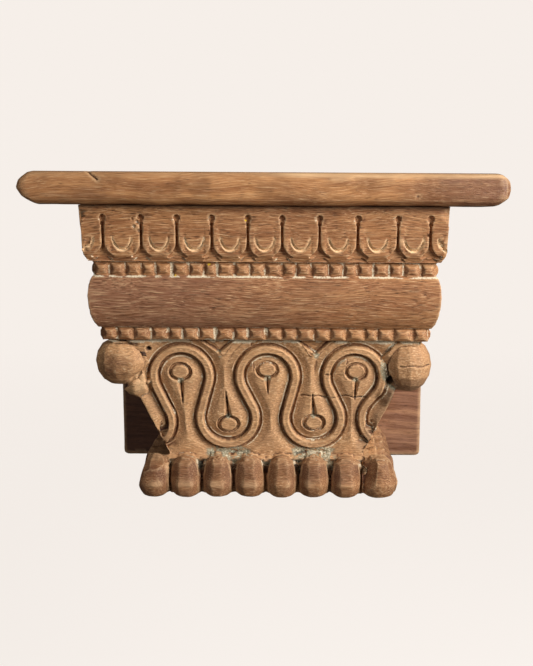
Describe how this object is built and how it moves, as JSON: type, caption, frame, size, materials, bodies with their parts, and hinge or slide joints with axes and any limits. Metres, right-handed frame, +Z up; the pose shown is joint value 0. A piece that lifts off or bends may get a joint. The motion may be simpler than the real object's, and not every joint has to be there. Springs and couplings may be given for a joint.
{
  "type": "corbel shelf",
  "caption": "Wall shelf: a plank on a carved hardwood corbel with a tongue frieze, bead rows, a torus, a winding ribbon panel and petal toes, in front of a back board.",
  "frame": {"origin": "middle of the back board's back face, on the wall", "axes": "+Z up, +Y into the wall, so the carved front faces -Y; +X to the right as seen from the front"},
  "size_m": [0.448, 0.2003, 0.3123],
  "materials": {
    "shelf_plank": "oiled, worn golden brown reclaimed plank",
    "corbel_block": "hand-carved old hardwood with pale dust in the cuts",
    "back_board": "dark oiled old board"
  },
  "bodies": {
    "root": {"shelf_plank": "shelf_plank", "corbel_block": "corbel_block", "back_board": "back_board"}
  },
  "joints": []
}
